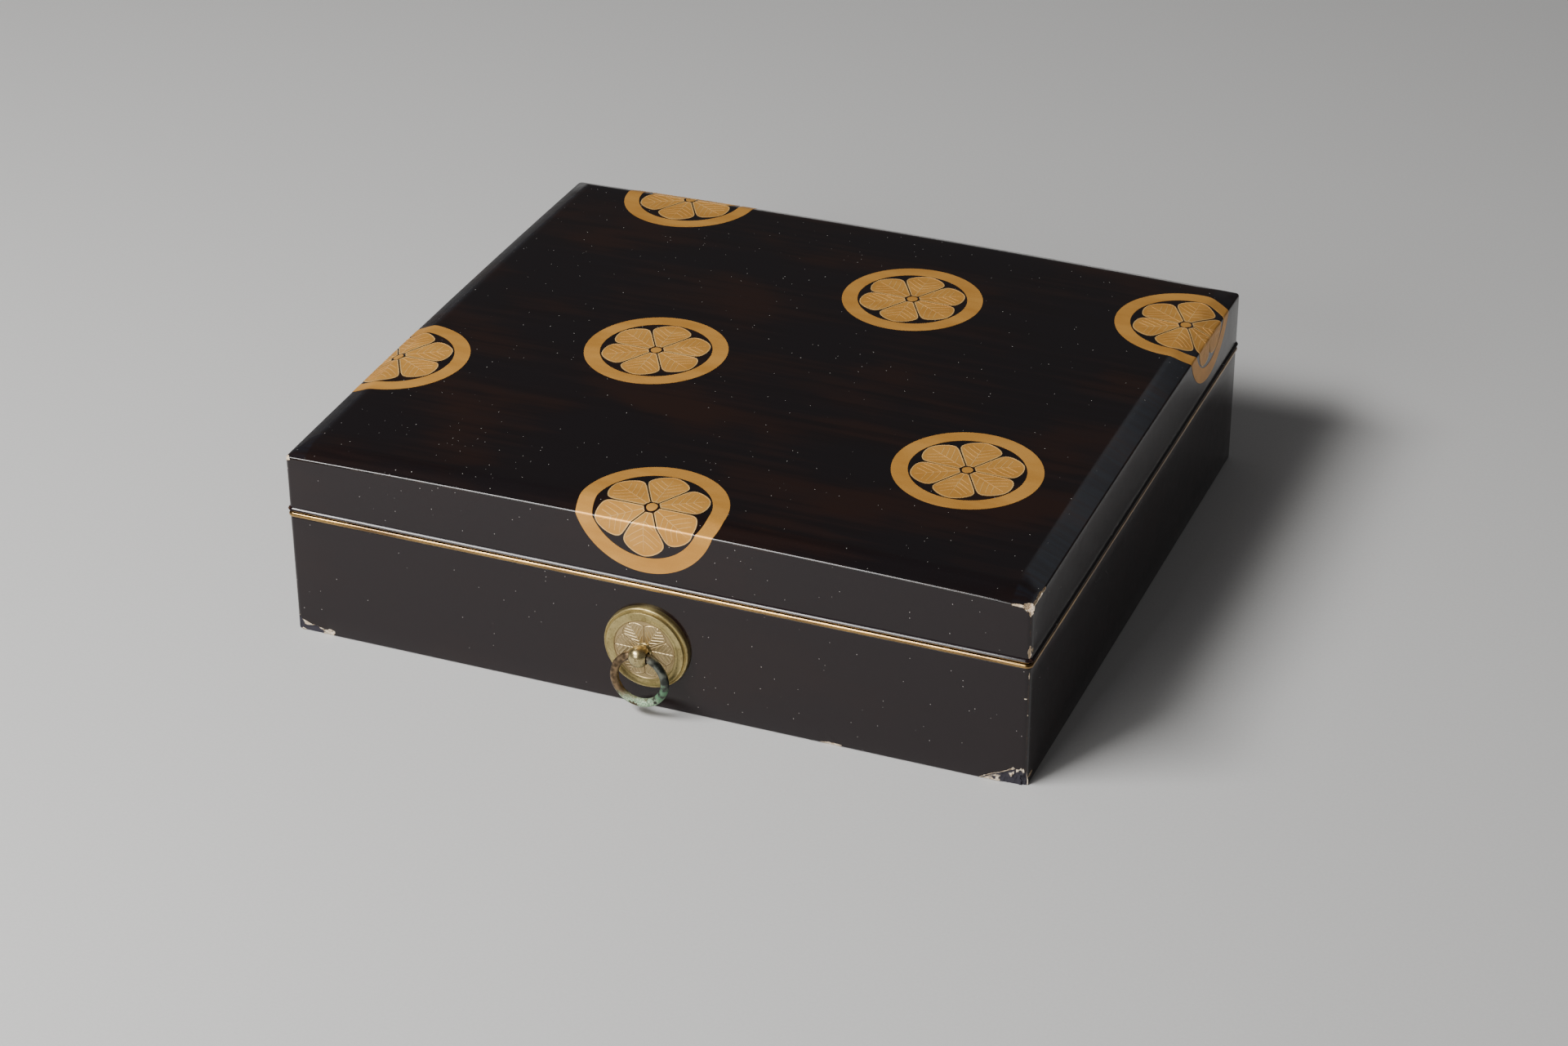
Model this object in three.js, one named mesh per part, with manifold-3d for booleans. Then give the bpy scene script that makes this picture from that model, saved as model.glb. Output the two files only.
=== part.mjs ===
import * as THREE from 'three';
import { mergeVertices } from 'three/addons/utils/BufferGeometryUtils.js';
import Module from 'manifold-3d';

// Poem paper box: a flush-lidded box of thin lacquered boards for square poem cards, with a
// cambered lid, a moulded bead on each side of its mouth, and a ring fitting on each long side.
// Millimetres, +Z up. The origin is the middle of the underside, and the front faces -Y.

// The card that the box is made to hold, and the room left round a stack of them
const CARD_LENGTH = 273;
const CARD_WIDTH = 242;
const CARD_ROOM = 4;

// Boards of the body
const WALL = 5;
const BOTTOM = 5;
const BOTTOM_STEP = 1;
const BOTTOM_PLAY = 0.3;
const RIM = 3;
const MOUTH = 51.75;
const RIM_RISE = 8.75;
const CORNER = 2;
const FOOT_EASE = 0.5;
const LIP = 2.2;

// Lid: a cambered board with a sloping margin, let into four walls
const LID_WALL = 22.95;
const LID_SEAT = 4.7;
const LID_BOARD = 5.5;
const LID_LEDGE = 3;
const LID_PLAY = 0.4;
const MARGIN = 8;
const MARGIN_RISE = 3.3;
const CAMBER_LONG = 1.8;
const CAMBER_SHORT = 1.4;
const ARRIS = 0.6;
const ARRIS_DROP = 0.35;

// Beads let into the outer edge of both mouths
const BEAD_BED = 1.6;
const BEAD_STEP = 0.35;
const GOLD_BEAD_HEIGHT = 2;
const GOLD_BEAD_PROUD = 0.65;
const GOLD_BEAD_BELOW = 0.25;
const BLACK_BEAD_HEIGHT = 1.5;
const BLACK_BEAD_PROUD = 0.85;
const BLACK_BEAD_ABOVE = 0.45;

// Ring fitting: a stepped disc, a ball-headed pin with split legs, and a ring hung in the ball
const DISC_RADIUS = 16.8;
const DISC_SIDE = 1.3;
const DISC_SHOULDER = 15.8;
const DISC_SHOULDER_HEIGHT = 2.3;
const DISC_GROOVE = 0.35;
const DISC_FACE = 15.2;
const DISC_HEIGHT = 3.4;
const MEDAL_RADIUS = 12.2;
const MEDAL_DEPTH = 0.2;
const PIN_BORE = 1.6;
const BALL_RADIUS = 4.15;
const BALL_STAND = 4.7;
const BALL_CHEEK = 3.8;
const NECK_RADIUS = 2.1;
const COLLAR_RADIUS = 3;
const COLLAR_HEIGHT = 0.7;
const EYE_RADIUS = 2.3;
const RING_RADIUS = 10.05;
const RING_WIRE = 1.65;
const LEG_WIDTH = 2.2;
const LEG_THICK = 0.9;
const LEG_SLIT = 0.16;
const LEG_BEND = 0.5;
const LEG_REACH = 8;

// Glue line between two mitred boards, and how finely curves are cut
const GLUE = 0.05;
const CORNER_STEPS = 6;
const NOSE_STEPS = 8;
const CAMBER_STEPS = 7;
const DISC_SIDES = 40;
const BALL_STEPS = 12;
const RING_SIDES = 44;
const WIRE_SIDES = 12;

// Sizes that follow from those above
const HALF_X = (CARD_LENGTH + CARD_ROOM) / 2 + RIM + WALL;
const HALF_Y = (CARD_WIDTH + CARD_ROOM) / 2 + RIM + WALL;
const BOTTOM_SEAT = BOTTOM - BOTTOM_STEP;
const RIM_TOP = MOUTH + RIM_RISE;
const LID_EDGE = MOUTH + LID_WALL;
const LID_SEAT_Z = LID_EDGE - LID_SEAT;
const LID_TOP = LID_EDGE + MARGIN_RISE + CAMBER_LONG + CAMBER_SHORT;
const FITTING_Z = MOUTH / 2;
const BOARD_STACK = WALL + RIM;
const CUT_ROOM = 10;

const LACQUER = { color: 0x120f10, roughness: 0.22, metalness: 0 };
const GOLD = { color: 0xbe8c50, roughness: 0.35, metalness: 0.9 };
const BRASS = { color: 0xa89a62, roughness: 0.4, metalness: 1 };
const OLD_BRASS = { color: 0x7d6c45, roughness: 0.55, metalness: 0.9 };

const wasm = await Module();
wasm.setup();

// A closed geometry becomes a solid once its doubled points are one
function solid(geometry) {
  const bare = geometry.clone();
  bare.deleteAttribute('normal');
  bare.deleteAttribute('uv');
  const merged = mergeVertices(bare);
  const corners = merged.index.array;
  const triangles = [];
  for (let i = 0; i < corners.length; i += 3) {
    const [a, b, c] = corners.slice(i, i + 3);
    if (a !== b && b !== c && c !== a) triangles.push(a, b, c);
  }
  return new wasm.Manifold(new wasm.Mesh({
    numProp: 3,
    vertProperties: new Float32Array(merged.attributes.position.array),
    triVerts: new Uint32Array(triangles),
  }));
}

function piece(name, body, finish) {
  const mesh = body.getMesh();
  const geometry = new THREE.BufferGeometry();
  geometry.setAttribute('position', new THREE.BufferAttribute(mesh.vertProperties, 3));
  geometry.setIndex(new THREE.BufferAttribute(mesh.triVerts, 1));
  geometry.computeVertexNormals();
  const made = new THREE.Mesh(geometry, new THREE.MeshStandardMaterial(finish));
  made.name = name;
  return made;
}

// The plan outline a distance inside the outer faces, with its rounded corners kept parallel
function outline(inset) {
  const radius = Math.max(CORNER - inset, 0);
  const points = [];
  for (const [sideX, sideY, start] of [[1, -1, -90], [1, 1, 0], [-1, 1, 90], [-1, -1, 180]]) {
    const centreX = sideX * (HALF_X - inset - radius);
    const centreY = sideY * (HALF_Y - inset - radius);
    for (let step = 0; step <= CORNER_STEPS; step++) {
      const angle = THREE.MathUtils.degToRad(start + (90 * step) / CORNER_STEPS);
      const point = [centreX + radius * Math.cos(angle), centreY + radius * Math.sin(angle)];
      points.push(new THREE.Vector2(...point));
    }
  }
  return points;
}

// A moulding run round the box: each point of its section is [distance inside the face, height]
function frameRun(section) {
  const points = section.map((point) => new THREE.Vector2(...point));
  if (!THREE.ShapeUtils.isClockWise(points)) points.reverse();
  const rings = points.map((point) =>
    outline(point.x).map((corner) => new THREE.Vector3(corner.x, corner.y, point.y)));
  const around = rings[0].length;
  const positions = rings.flat().flatMap((corner) => corner.toArray());
  const index = [];
  for (let row = 0; row < rings.length; row++) {
    const next = (row + 1) % rings.length;
    for (let at = 0; at < around; at++) {
      const onward = (at + 1) % around;
      const [a, b] = [row * around + at, row * around + onward];
      const [c, d] = [next * around + onward, next * around + at];
      index.push(a, b, c, a, c, d);
    }
  }
  const geometry = new THREE.BufferGeometry();
  geometry.setAttribute('position', new THREE.Float32BufferAttribute(positions, 3));
  geometry.setIndex(index);
  return solid(geometry);
}

function plate(inset, low, high) {
  const corners = outline(inset).filter((point, at, all) =>
    point.distanceTo(all[(at + 1) % all.length]) > Number.EPSILON * HALF_X);
  const flat = new THREE.Shape(corners);
  const geometry = new THREE.ExtrudeGeometry(flat, { depth: high - low, bevelEnabled: false });
  return solid(geometry.translate(0, 0, low));
}

// The block of space that holds one side's boards, cut at the mitres with half a glue line off
function sideBlock(side) {
  const long = side === 'front' || side === 'back';
  const [along, across] = long ? [HALF_X, HALF_Y] : [HALF_Y, HALF_X];
  const outer = along + CUT_ROOM - GLUE * Math.SQRT1_2;
  const inner = along - 2 * BOARD_STACK - GLUE * Math.SQRT1_2;
  const flat = new THREE.Shape();
  flat.moveTo(-outer, -across - CUT_ROOM);
  flat.lineTo(outer, -across - CUT_ROOM);
  flat.lineTo(inner, -across + 2 * BOARD_STACK);
  flat.lineTo(-inner, -across + 2 * BOARD_STACK);
  const depth = LID_TOP + 2 * CUT_ROOM;
  const geometry = new THREE.ExtrudeGeometry(flat, { depth, bevelEnabled: false });
  geometry.translate(0, 0, -CUT_ROOM);
  const turns = { front: 0, right: 1, back: 2, left: 3 };
  return solid(geometry.rotateZ((turns[side] * Math.PI) / 2));
}

// A closed block under a curved top, with its rows set where the surface bends
function heightBlock(columns, rows, top, low) {
  const points = [];
  for (const level of [top, () => low]) {
    for (const y of rows) {
      for (const x of columns) points.push(x, y, level(x, y));
    }
  }
  const wide = columns.length;
  const under = wide * rows.length;
  const index = [];
  const square = (a, b, c, d) => index.push(a, b, c, a, c, d);
  for (let row = 0; row + 1 < rows.length; row++) {
    for (let column = 0; column + 1 < wide; column++) {
      const corner = row * wide + column;
      const [a, b, c, d] = [corner, corner + 1, corner + 1 + wide, corner + wide];
      const rising = (columns[column] + columns[column + 1]) * (rows[row] + rows[row + 1]) > 0;
      if (rising) square(a, b, c, d);
      else square(b, c, d, a);
      square(a + under, d + under, c + under, b + under);
    }
  }
  for (let column = 0; column + 1 < wide; column++) {
    const far = (rows.length - 1) * wide + column;
    square(column, column + under, column + 1 + under, column + 1);
    square(far + 1, far + 1 + under, far + under, far);
  }
  for (let row = 0; row + 1 < rows.length; row++) {
    const left = row * wide;
    const right = left + wide - 1;
    square(left + wide, left + wide + under, left + under, left);
    square(right, right + under, right + wide + under, right + wide);
  }
  const geometry = new THREE.BufferGeometry();
  geometry.setAttribute('position', new THREE.Float32BufferAttribute(points, 3));
  geometry.setIndex(index);
  return solid(geometry);
}

// The lid's top: cambered both ways, with a sloping margin and an eased arris along its edges
function lidSurface(x, y) {
  const inside = Math.min(HALF_X - Math.abs(x), HALF_Y - Math.abs(y));
  const camber = CAMBER_LONG * (1 - (x / HALF_X) ** 2) + CAMBER_SHORT * (1 - (y / HALF_Y) ** 2);
  const slope = MARGIN_RISE * Math.min(inside / MARGIN, 1);
  const eased = ARRIS_DROP * Math.max(1 - inside / ARRIS, 0);
  return LID_EDGE + camber + slope - eased;
}

function spread(half, ...edges) {
  const values = [];
  for (let step = -CAMBER_STEPS; step <= CAMBER_STEPS; step++) {
    values.push((half * step) / CAMBER_STEPS);
  }
  for (const edge of edges) values.push(-edge, edge);
  return values.sort((a, b) => a - b);
}

// The nose of a bead stands proud of the wall, and its tail lies in a bed cut into the edge
function beadSection(noseLow, noseHigh, tailLow, tailHigh, proud) {
  const middle = (noseLow + noseHigh) / 2;
  const half = (noseHigh - noseLow) / 2;
  const points = [[BEAD_BED, tailHigh], [BEAD_BED, tailLow]];
  if (tailLow < noseLow) points.push([BEAD_STEP, tailLow]);
  for (let step = 0; step <= NOSE_STEPS; step++) {
    const angle = Math.PI * (step / NOSE_STEPS - 0.5);
    const inset = BEAD_STEP - (BEAD_STEP + proud) * Math.cos(angle);
    points.push([inset, middle + half * Math.sin(angle)]);
  }
  if (tailHigh > noseHigh) points.push([BEAD_STEP, tailHigh]);
  return points;
}

function cylinder(radius, length) {
  return new THREE.CylinderGeometry(radius, radius, length, WIRE_SIDES * 2);
}

function pinBore() {
  return solid(cylinder(PIN_BORE, 2 * (HALF_Y + CUT_ROOM)).translate(0, 0, FITTING_Z));
}

const GOLD_HIGH = MOUTH - GOLD_BEAD_BELOW;
const GOLD_LOW = GOLD_HIGH - GOLD_BEAD_HEIGHT;
const BLACK_LOW = MOUTH + BLACK_BEAD_ABOVE;
const BLACK_HIGH = BLACK_LOW + BLACK_BEAD_HEIGHT;

// The bottom board is rabbeted all round, so its raised field lies between the standing rims
function bottomBoard() {
  const field = plate(BOARD_STACK + BOTTOM_PLAY, 0, BOTTOM);
  return plate(LIP, 0, BOTTOM_SEAT).add(field);
}

function bodyWallRun() {
  return frameRun([
    [FOOT_EASE, 0],
    [LIP, 0],
    [LIP, BOTTOM_SEAT],
    [WALL, BOTTOM_SEAT],
    [WALL, MOUTH],
    [BEAD_BED, MOUTH],
    [BEAD_BED, GOLD_LOW],
    [0, GOLD_LOW],
    [0, FOOT_EASE],
  ]);
}

// The standing rim: thin boards inside the walls, planed back above the mouth and rounded on top
function rimRun() {
  const inner = WALL + RIM;
  const outer = WALL + LID_PLAY;
  const round = (inner - outer) / 2;
  const points = [[WALL, MOUTH], [WALL, BOTTOM_SEAT], [inner, BOTTOM_SEAT]];
  for (let step = 0; step <= NOSE_STEPS; step++) {
    const angle = (Math.PI * step) / NOSE_STEPS;
    points.push([inner - round + round * Math.cos(angle), RIM_TOP - round + round * Math.sin(angle)]);
  }
  points.push([outer, MOUTH]);
  return frameRun(points);
}

function lidWallRun(cambered) {
  const above = LID_TOP + CUT_ROOM;
  const run = frameRun([
    [BEAD_BED, MOUTH],
    [WALL, MOUTH],
    [WALL, LID_SEAT_Z],
    [LIP, LID_SEAT_Z],
    [LIP, above],
    [0, above],
    [0, BLACK_HIGH],
    [BEAD_BED, BLACK_HIGH],
  ]);
  return run.intersect(cambered);
}

// The lid board is hollowed underneath to an even thickness inside the ledge that it sits on
function lidBoard(cambered) {
  const inset = WALL + LID_LEDGE;
  const hollow = heightBlock(
    spread(HALF_X - inset),
    spread(HALF_Y - inset),
    (x, y) => lidSurface(x, y) - LID_BOARD,
    LID_SEAT_Z - CUT_ROOM,
  );
  return plate(LIP, LID_SEAT_Z, LID_TOP + CUT_ROOM).intersect(cambered).subtract(hollow);
}

function ringDisc() {
  const profile = [
    [PIN_BORE, 0],
    [DISC_RADIUS, 0],
    [DISC_RADIUS, DISC_SIDE],
    [DISC_SHOULDER + DISC_GROOVE, DISC_SHOULDER_HEIGHT],
    [DISC_SHOULDER, DISC_SHOULDER_HEIGHT],
    [DISC_SHOULDER, DISC_SHOULDER_HEIGHT - DISC_GROOVE],
    [DISC_SHOULDER - DISC_GROOVE, DISC_SHOULDER_HEIGHT],
    [DISC_FACE, DISC_HEIGHT],
    [MEDAL_RADIUS, DISC_HEIGHT],
    [MEDAL_RADIUS - MEDAL_DEPTH, DISC_HEIGHT - MEDAL_DEPTH],
    [PIN_BORE, DISC_HEIGHT - MEDAL_DEPTH],
    [PIN_BORE, 0],
  ];
  const points = profile.map(([radius, height]) => new THREE.Vector2(radius, height));
  return solid(new THREE.LatheGeometry(points, DISC_SIDES).rotateX(Math.PI / 2));
}

// One leg of the pin goes through the boards and is clenched flat against the inner one
function pinLeg() {
  const inner = -BOARD_STACK;
  const near = LEG_SLIT / 2;
  const far = near + LEG_THICK;
  const back = inner - LEG_THICK;
  const root = DISC_HEIGHT + BALL_STAND - BALL_RADIUS / 2;
  const turn = far + LEG_BEND;
  const tip = far + LEG_REACH;
  const leg = new THREE.Shape();
  leg.moveTo(root, near);
  leg.lineTo(root, far);
  leg.lineTo(inner + LEG_BEND, far);
  leg.absarc(inner + LEG_BEND, turn, LEG_BEND, -Math.PI / 2, -Math.PI, true);
  leg.lineTo(inner, tip);
  leg.lineTo((inner + back) / 2, tip + LEG_THICK);
  leg.lineTo(back, tip);
  leg.lineTo(back, turn);
  leg.absarc(inner + LEG_BEND, turn, LEG_BEND + LEG_THICK, -Math.PI, -Math.PI / 2, false);
  const options = { depth: LEG_WIDTH, bevelEnabled: false, curveSegments: 4 };
  const geometry = new THREE.ExtrudeGeometry(leg, options).rotateY(-Math.PI / 2);
  return geometry.translate(LEG_WIDTH / 2, 0, 0);
}

function ringPin() {
  const seat = DISC_HEIGHT - MEDAL_DEPTH;
  const middle = DISC_HEIGHT + BALL_STAND;
  const neckAngle = Math.asin(NECK_RADIUS / BALL_RADIUS);
  const points = [
    new THREE.Vector2(0, seat),
    new THREE.Vector2(COLLAR_RADIUS, seat),
    new THREE.Vector2(COLLAR_RADIUS, seat + COLLAR_HEIGHT / 2),
    new THREE.Vector2(NECK_RADIUS, seat + COLLAR_HEIGHT),
  ];
  for (let step = 0; step < BALL_STEPS; step++) {
    const angle = neckAngle + ((Math.PI - neckAngle) * step) / BALL_STEPS;
    const height = middle - BALL_RADIUS * Math.cos(angle);
    points.push(new THREE.Vector2(BALL_RADIUS * Math.sin(angle), height));
  }
  points.push(new THREE.Vector2(0, middle + BALL_RADIUS));
  const head = solid(new THREE.LatheGeometry(points, BALL_STEPS * 2).rotateX(Math.PI / 2));
  const cheeks = new THREE.BoxGeometry(2 * BALL_CHEEK, 4 * BALL_RADIUS, 4 * middle);
  const eye = cylinder(EYE_RADIUS, 4 * BALL_RADIUS).rotateZ(Math.PI / 2).translate(0, 0, middle);
  const upper = solid(pinLeg());
  const lower = solid(pinLeg().rotateZ(Math.PI));
  return head.intersect(solid(cheeks)).add(upper).add(lower).subtract(solid(eye));
}

// The ring hangs with its wire in the eye, half its own sag above the eye's middle
function ringWire() {
  const sag = RING_RADIUS - Math.sqrt(RING_RADIUS ** 2 - BALL_CHEEK ** 2);
  const geometry = new THREE.TorusGeometry(RING_RADIUS, RING_WIRE, WIRE_SIDES, RING_SIDES);
  return solid(geometry.translate(0, sag / 2 - RING_RADIUS, DISC_HEIGHT + BALL_STAND));
}

function fitting(side) {
  const group = new THREE.Group();
  group.add(piece(`ring_disc_${side}`, ringDisc(), BRASS));
  group.add(piece(`ring_pin_${side}`, ringPin(), OLD_BRASS));
  group.add(piece(`ring_${side}`, ringWire(), OLD_BRASS));
  group.rotation.set(Math.PI / 2, 0, 0);
  group.position.set(0, -HALF_Y, FITTING_Z);
  const turned = new THREE.Group();
  turned.add(group);
  if (side === 'back') turned.rotation.z = Math.PI;
  return turned;
}

const box = new THREE.Group();
const rows = spread(HALF_Y, HALF_Y - MARGIN, HALF_Y - ARRIS, HALF_Y + CUT_ROOM / 2);
const columns = spread(HALF_X, HALF_X - MARGIN, HALF_X - ARRIS, HALF_X + CUT_ROOM / 2);
const cambered = heightBlock(columns, rows, lidSurface, MOUTH - CUT_ROOM);
const goldBead = frameRun(beadSection(GOLD_LOW, GOLD_HIGH, GOLD_LOW, MOUTH, GOLD_BEAD_PROUD));
const blackBead = frameRun(beadSection(BLACK_LOW, BLACK_HIGH, MOUTH, BLACK_HIGH, BLACK_BEAD_PROUD));
const bore = pinBore();
const bodyWalls = bodyWallRun().subtract(bore);
const rims = rimRun().subtract(bore);
const lidWalls = lidWallRun(cambered);

box.add(piece('bottom_board', bottomBoard(), LACQUER));
for (const side of ['front', 'right', 'back', 'left']) {
  const block = sideBlock(side);
  box.add(piece(`body_wall_${side}`, bodyWalls.intersect(block), LACQUER));
  box.add(piece(`standing_rim_${side}`, rims.intersect(block), LACQUER));
  box.add(piece(`gold_bead_${side}`, goldBead.intersect(block), GOLD));
  box.add(piece(`lid_wall_${side}`, lidWalls.intersect(block), LACQUER));
  box.add(piece(`lid_bead_${side}`, blackBead.intersect(block), LACQUER));
}
box.add(piece('lid_board', lidBoard(cambered), LACQUER));
box.add(fitting('front'));
box.add(fitting('back'));

export default box;
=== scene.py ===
import math
import random

import bmesh
import bpy
from mathutils import Matrix, Quaternion, Vector, noise


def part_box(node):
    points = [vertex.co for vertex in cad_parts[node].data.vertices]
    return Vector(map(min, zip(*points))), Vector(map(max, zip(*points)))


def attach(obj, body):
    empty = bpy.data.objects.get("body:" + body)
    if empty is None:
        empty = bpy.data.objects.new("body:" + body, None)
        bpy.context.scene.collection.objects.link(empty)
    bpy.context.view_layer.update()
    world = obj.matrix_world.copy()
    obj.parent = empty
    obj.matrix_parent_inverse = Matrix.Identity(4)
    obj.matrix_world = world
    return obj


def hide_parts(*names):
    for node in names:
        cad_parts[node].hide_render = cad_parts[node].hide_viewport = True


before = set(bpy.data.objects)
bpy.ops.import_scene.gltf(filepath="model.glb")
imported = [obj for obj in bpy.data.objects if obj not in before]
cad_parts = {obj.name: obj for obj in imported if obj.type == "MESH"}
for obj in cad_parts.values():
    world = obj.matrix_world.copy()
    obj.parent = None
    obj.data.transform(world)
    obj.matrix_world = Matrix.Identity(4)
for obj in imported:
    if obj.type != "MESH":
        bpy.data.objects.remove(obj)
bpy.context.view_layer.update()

MM = 0.001

# Viewpoint
# The box is seen across a table from beyond its front right corner, 30 degrees from above.
# Place and lens were worked out from the corners of the box, sized for standard poem cards.
LENS = 83.83
EYE = Vector((0.47235, -1.16126, 0.73248))
GAZE = Vector((-0.3257, 0.8019, -0.5008))
ROLL = math.radians(-0.259)

viewpoint = bpy.data.objects.new("viewpoint", bpy.data.cameras.new("viewpoint"))
bpy.context.collection.objects.link(viewpoint)
viewpoint.data.lens = LENS
viewpoint.location = EYE
viewpoint.rotation_mode = "QUATERNION"
viewpoint.rotation_quaternion = GAZE.to_track_quat("-Z", "Y") @ Quaternion((0, 0, 1), ROLL)
bpy.context.scene.camera = viewpoint


# Table, studio light and surroundings
# A pale matt table top under one broad soft light, high in front on the left, with weak ones
# from the front and from behind. The room is a plain dim grey, which the polished lid shows.
class Reading:
    """A value on a surface. Python's arithmetic on it adds the Math nodes for it."""

    def __init__(self, finish, socket):
        self.finish = finish
        self.socket = socket

    def out(self, name):
        return Reading(self.finish, self.socket.node.outputs[name])

    def maths(self, operation, *values):
        return self.finish.node("Math", {"operation": operation}, dict(enumerate(values)))

    def __add__(self, other):
        return self.maths("ADD", self, other)

    def __sub__(self, other):
        return self.maths("SUBTRACT", self, other)

    def __rsub__(self, other):
        return self.maths("SUBTRACT", other, self)

    def __mul__(self, other):
        return self.maths("MULTIPLY", self, other)

    def __truediv__(self, other):
        return self.maths("DIVIDE", self, other)

    def __abs__(self):
        return self.maths("ABSOLUTE", self)

    def least(self, other):
        return self.maths("MINIMUM", self, other)

    def most(self, other):
        return self.maths("MAXIMUM", self, other)

    __radd__ = __add__
    __rmul__ = __mul__


class Finish:
    """The nodes of a material or of the surroundings."""

    def __init__(self, owner):
        owner.use_nodes = True
        self.owner = owner
        self.nodes = owner.node_tree.nodes
        self.links = owner.node_tree.links
        self.nodes.clear()

    def node(self, kind, settings=None, inputs=None):
        made = self.nodes.new("ShaderNode" + kind)
        for name, value in (settings or {}).items():
            setattr(made, name, value)
        for name, value in (inputs or {}).items():
            if isinstance(value, Reading):
                self.links.new(value.socket, made.inputs[name])
            else:
                made.inputs[name].default_value = value
        return Reading(self, made.outputs[0]) if made.outputs else None

    def place(self):
        return self.node("TexCoord").out("Object")

    def axes(self, place):
        split = self.node("SeparateXYZ", None, {0: place})
        return split.out("X"), split.out("Y"), split.out("Z")

    def stretched(self, place, factors):
        return self.node("VectorMath", {"operation": "MULTIPLY"}, {0: place, 1: factors})

    def cloud(self, place, scale, detail=2.0):
        return self.node("TexNoise", None, {"Vector": place, "Scale": scale, "Detail": detail})

    def step(self, value, start, end):
        """Rises smoothly from 0 at start to 1 at end."""
        settings = {"interpolation_type": "SMOOTHSTEP"}
        return self.node("MapRange", settings, {"Value": value, "From Min": start, "From Max": end})

    def mix(self, share, under, over):
        inputs = {0: share, 6: under, 7: over}
        return self.node("Mix", {"data_type": "RGBA"}, inputs).out(2)

    def bump(self, height, distance, strength=1.0):
        inputs = {"Height": height, "Distance": distance, "Strength": strength}
        return self.node("Bump", None, inputs)

    def surface(self, inputs):
        shader = self.node("BsdfPrincipled", None, inputs)
        self.node("OutputMaterial", None, {"Surface": shader})
        return self.owner


def shade(red, green, blue):
    """A colour as it is seen on a screen, 0 to 255, turned into the light that it stands for."""
    def linear(part):
        part = part / 255
        return part / 12.92 if part <= 0.04045 else ((part + 0.055) / 1.055) ** 2.4
    return linear(red), linear(green), linear(blue), 1.0


TABLE_WIDTH = 9.0
TABLE_DROP = 0.1 * MM
ROOM_GREY = (0.085, 0.083, 0.084, 1.0)

top = bmesh.new()
bmesh.ops.create_grid(top, x_segments=1, y_segments=1, size=TABLE_WIDTH / 2)
table_mesh = bpy.data.meshes.new("table")
top.to_mesh(table_mesh)
table = bpy.data.objects.new("table", table_mesh)
table.location.z = -TABLE_DROP
bpy.context.collection.objects.link(table)

cloth = Finish(bpy.data.materials.new("pale_table"))
fibre = cloth.cloud(cloth.place(), scale=900.0, detail=4.0)
table_mesh.materials.append(cloth.surface({
    "Base Color": cloth.mix(fibre, shade(208, 207, 205), shade(218, 217, 215)),
    "Roughness": 0.9,
    "Specular IOR Level": 0.2,
}))

room = Finish(bpy.data.worlds.new("room"))
glow = room.node("Background", None, {"Color": ROOM_GREY, "Strength": 1.0})
room.node("OutputWorld", None, {"Surface": glow})
bpy.context.scene.world = room.owner


def softbox(name, at, width, depth, watts, tint=(1.0, 1.0, 1.0)):
    light = bpy.data.objects.new(name, bpy.data.lights.new(name, "AREA"))
    light.data.color = tint
    light.data.shape = "RECTANGLE"
    light.data.size = width
    light.data.size_y = depth
    light.data.energy = watts
    light.location = at
    light.rotation_mode = "QUATERNION"
    light.rotation_quaternion = (-Vector(at)).to_track_quat("-Z", "Y")
    bpy.context.collection.objects.link(light)


softbox("key", (-0.66, -0.88, 1.22), width=0.9, depth=0.34, watts=32.0)
softbox("front_fill", (-0.5, -1.9, 0.9), width=1.0, depth=0.5, watts=12.0)
softbox("back_fill", (0.35, 1.5, 1.15), width=0.9, depth=0.5, watts=0.4, tint=(0.8, 0.9, 1.0))

# Body
# A tray of thin wooden boards, mitred at the corners and coated all over with black lacquer,
# so that no joint shows. Its outer edges are rounded by the coats, and its mouth is stepped.
HALF_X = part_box("body_wall_right")[1].x
HALF_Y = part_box("body_wall_back")[1].y
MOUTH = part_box("body_wall_front")[1].z
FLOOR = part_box("bottom_board")[1].z
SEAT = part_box("standing_rim_front")[0].z
WALL = 5 * MM
BOARDS = 8 * MM
FIELD_PLAY = 0.3 * MM
BEAD_BED = 1.6 * MM
GOLD_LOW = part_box("gold_bead_front")[0].z
CORNER = 2 * MM
FOOT_ROUND = 0.6 * MM
LIP_ROUND = 0.3 * MM
BAND = 4 * MM
CORNER_STEPS = 8
LONG_CUTS = 26
SHORT_CUTS = 24
WELD = 0.001 * MM
CREASE_ANGLE = math.radians(30)


def plan_ring(inset):
    """Points round the plan, a distance inside the outer faces, with the corners kept round."""
    radius = max(CORNER - inset, 0)
    turns = []
    for side_x, side_y, start in ((1, -1, -90), (1, 1, 0), (-1, 1, 90), (-1, -1, 180)):
        centre = Vector((side_x * (HALF_X - inset - radius), side_y * (HALF_Y - inset - radius)))
        turn = []
        for step in range(CORNER_STEPS + 1):
            angle = math.radians(start + 90 * step / CORNER_STEPS)
            turn.append(centre + radius * Vector((math.cos(angle), math.sin(angle))))
        turns.append(turn)
    points = []
    for at, cuts in enumerate((SHORT_CUTS, LONG_CUTS, SHORT_CUTS, LONG_CUTS)):
        points += turns[at]
        first, last = turns[at][-1], turns[(at + 1) % 4][0]
        points += [first.lerp(last, step / cuts) for step in range(1, cuts)]
    return points


def height_at(level, x, y):
    return level(x, y) if callable(level) else level


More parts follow.
